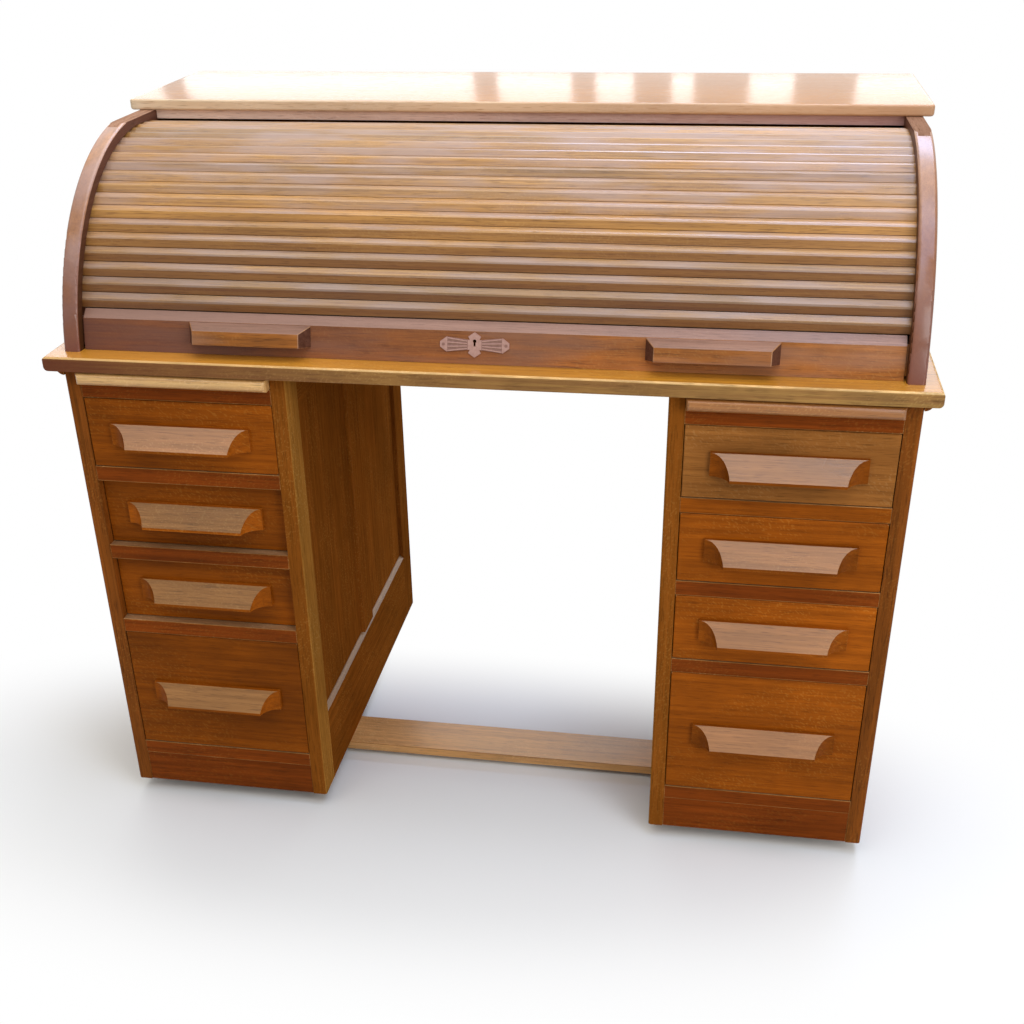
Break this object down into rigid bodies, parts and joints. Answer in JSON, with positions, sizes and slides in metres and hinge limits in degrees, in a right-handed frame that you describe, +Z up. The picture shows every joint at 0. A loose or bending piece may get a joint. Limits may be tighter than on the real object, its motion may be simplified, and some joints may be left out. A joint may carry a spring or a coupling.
{
  "type": "roll top desk",
  "caption": "Oak pedestal desk with a tambour curtain that rolls up over the writing surface, drawers in both pedestals and pull-out writing slides.",
  "frame": {"origin": "on the floor, under the middle of the desk's outline", "axes": "+Z up, +Y towards the desk's back, +X to the sitter's right"},
  "size_m": [1.22, 0.711, 1.049],
  "materials": {
    "oak": "satin varnish",
    "oak_front": "satin varnish",
    "oak_top": "satin varnish",
    "oak_rail": "satin varnish",
    "oak_slats": "satin varnish",
    "poplar": "bare",
    "feet": "bare",
    "canvas": "woven",
    "bronze": "worn bronze",
    "brass": "dull",
    "steel": "brushed"
  },
  "bodies": {
    "desk": {"desk_top": "oak_top", "fascia": "oak", "feet": "feet", "left_case_back": "poplar", "left_drawer_runners": "poplar", "left_end_panel": "oak", "left_front_rails": "oak", "left_inner_side_frame": "oak", "left_outer_side_frame": "oak", "left_side_panels": "oak", "pigeonhole_case": "poplar", "pigeonhole_dividers": "poplar", "right_case_back": "poplar", "right_drawer_runners": "poplar", "right_end_panel": "oak", "right_front_rails": "oak", "right_inner_side_frame": "oak", "right_outer_side_frame": "oak", "right_side_panels": "oak", "roll_back": "poplar", "stretcher": "oak", "strike_plate": "brass", "top_board": "oak", "top_mouldings": "oak"},
    "tambour": {"tambour_slats": "oak_slats", "tambour_canvas": "canvas", "lift_rail": "oak_rail", "lift_pulls": "oak_rail", "lock_case": "brass", "escutcheon": "bronze", "escutcheon_pins": "bronze"},
    "lock_bolt": {"lock_bolt": "steel"},
    "left_slide": {"left_slide_board": "oak_top", "left_slide_nosing": "oak_top"},
    "left_drawer_1": {"left_drawer_1_front": "oak_front", "left_drawer_1_box": "poplar", "left_drawer_1_pull": "oak_front"},
    "left_drawer_2": {"left_drawer_2_front": "oak_front", "left_drawer_2_box": "poplar", "left_drawer_2_pull": "oak_front"},
    "left_drawer_3": {"left_drawer_3_front": "oak_front", "left_drawer_3_box": "poplar", "left_drawer_3_pull": "oak_front"},
    "left_drawer_4": {"left_drawer_4_front": "oak_front", "left_drawer_4_box": "poplar", "left_drawer_4_pull": "oak_front"},
    "right_slide": {"right_slide_board": "oak_top", "right_slide_nosing": "oak_top"},
    "right_drawer_1": {"right_drawer_1_front": "oak_front", "right_drawer_1_box": "poplar", "right_drawer_1_pull": "oak_front"},
    "right_drawer_2": {"right_drawer_2_front": "oak_front", "right_drawer_2_box": "poplar", "right_drawer_2_pull": "oak_front"},
    "right_drawer_3": {"right_drawer_3_front": "oak_front", "right_drawer_3_box": "poplar", "right_drawer_3_pull": "oak_front"},
    "right_drawer_4": {"right_drawer_4_front": "oak_front", "right_drawer_4_box": "poplar", "right_drawer_4_pull": "oak_front"}
  },
  "joints": [
    {"name": "tambour_roll", "type": "hinge", "parent": "desk", "child": "tambour", "pos_m": [0, -0.0045, 0.722], "axis": [-1, 0, 0], "range_deg": [0, 63]},
    {"name": "bolt_throw", "type": "slide", "parent": "tambour", "child": "lock_bolt", "axis": [0, -0.2353, -0.9719], "range_m": [0, 0.009]},
    {"name": "left_slide_pull", "type": "slide", "parent": "desk", "child": "left_slide", "axis": [0, -1, 0], "range_m": [0, 0.3]},
    {"name": "left_drawer_1_slide", "type": "slide", "parent": "desk", "child": "left_drawer_1", "axis": [0, -1, 0], "range_m": [-0.013, 0.387]},
    {"name": "left_drawer_2_slide", "type": "slide", "parent": "desk", "child": "left_drawer_2", "axis": [0, -1, 0], "range_m": [0, 0.4]},
    {"name": "left_drawer_3_slide", "type": "slide", "parent": "desk", "child": "left_drawer_3", "axis": [0, -1, 0], "range_m": [0, 0.4]},
    {"name": "left_drawer_4_slide", "type": "slide", "parent": "desk", "child": "left_drawer_4", "axis": [0, -1, 0], "range_m": [-0.013, 0.387]},
    {"name": "right_slide_pull", "type": "slide", "parent": "desk", "child": "right_slide", "axis": [0, -1, 0], "range_m": [0, 0.3]},
    {"name": "right_drawer_1_slide", "type": "slide", "parent": "desk", "child": "right_drawer_1", "axis": [0, -1, 0], "range_m": [-0.013, 0.387]},
    {"name": "right_drawer_2_slide", "type": "slide", "parent": "desk", "child": "right_drawer_2", "axis": [0, -1, 0], "range_m": [-0.013, 0.387]},
    {"name": "right_drawer_3_slide", "type": "slide", "parent": "desk", "child": "right_drawer_3", "axis": [0, -1, 0], "range_m": [-0.013, 0.387]},
    {"name": "right_drawer_4_slide", "type": "slide", "parent": "desk", "child": "right_drawer_4", "axis": [0, -1, 0], "range_m": [-0.013, 0.387]}
  ]
}
